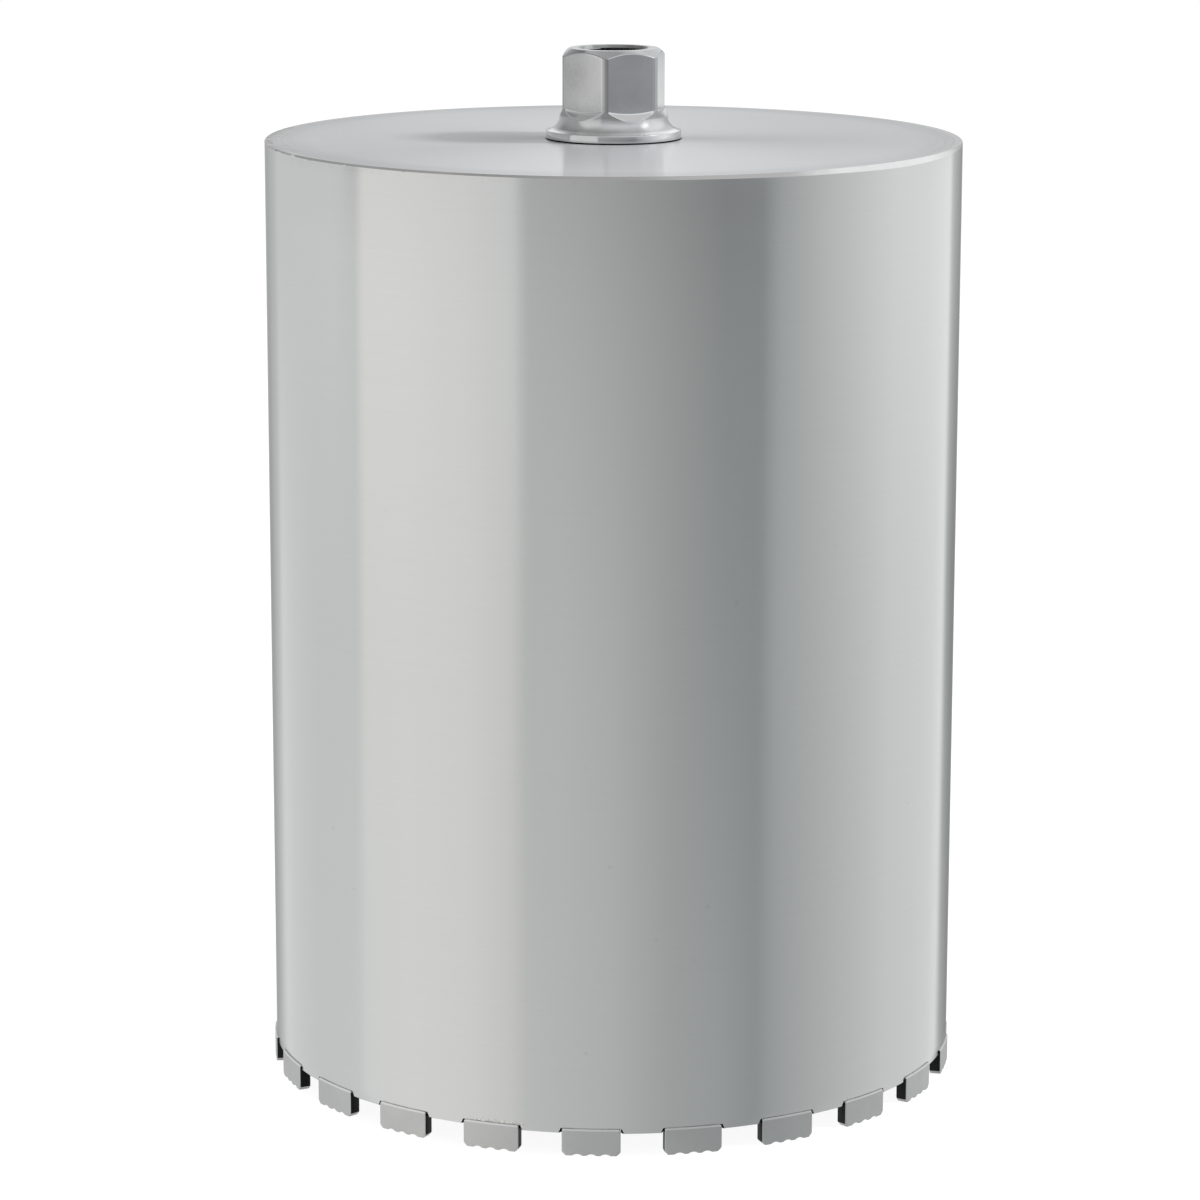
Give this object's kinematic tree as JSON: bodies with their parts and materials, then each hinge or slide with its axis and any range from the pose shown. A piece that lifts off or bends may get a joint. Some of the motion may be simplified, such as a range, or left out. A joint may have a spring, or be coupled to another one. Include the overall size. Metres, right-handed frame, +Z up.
{
  "type": "diamond core bit",
  "caption": "Wet diamond core bit: thin steel barrel with cutting segments let into its lower edge, a welded end plate and a threaded hexagon hub for the drill spindle.",
  "frame": {"origin": "on the axis, in the plane of the segments' cutting faces", "axes": "+Z up the axis from the cutting faces to the hub; -Y is the side that the picture looks at"},
  "size_m": [0.3, 0.3, 0.4446],
  "materials": {
    "barrel_steel": "satin, finely brushed round the barrel",
    "plate_steel": "semi-gloss with faint smudges",
    "weld_steel": "ground weld metal",
    "hub_steel": "turned and milled, bright zinc coated",
    "segment_metal": "matt sintered metal"
  },
  "bodies": {
    "root": {"barrel_tube": "barrel_steel", "end_plate": "plate_steel", "rim_weld": "weld_steel", "hub": "hub_steel", "hub_weld": "weld_steel", "segment_01": "segment_metal", "segment_02": "segment_metal", "segment_03": "segment_metal", "segment_04": "segment_metal", "segment_05": "segment_metal", "segment_06": "segment_metal", "segment_07": "segment_metal", "segment_08": "segment_metal", "segment_09": "segment_metal", "segment_10": "segment_metal", "segment_11": "segment_metal", "segment_12": "segment_metal", "segment_13": "segment_metal", "segment_14": "segment_metal", "segment_15": "segment_metal", "segment_16": "segment_metal", "segment_17": "segment_metal", "segment_18": "segment_metal", "segment_19": "segment_metal", "segment_20": "segment_metal", "segment_21": "segment_metal", "segment_22": "segment_metal"}
  },
  "joints": []
}
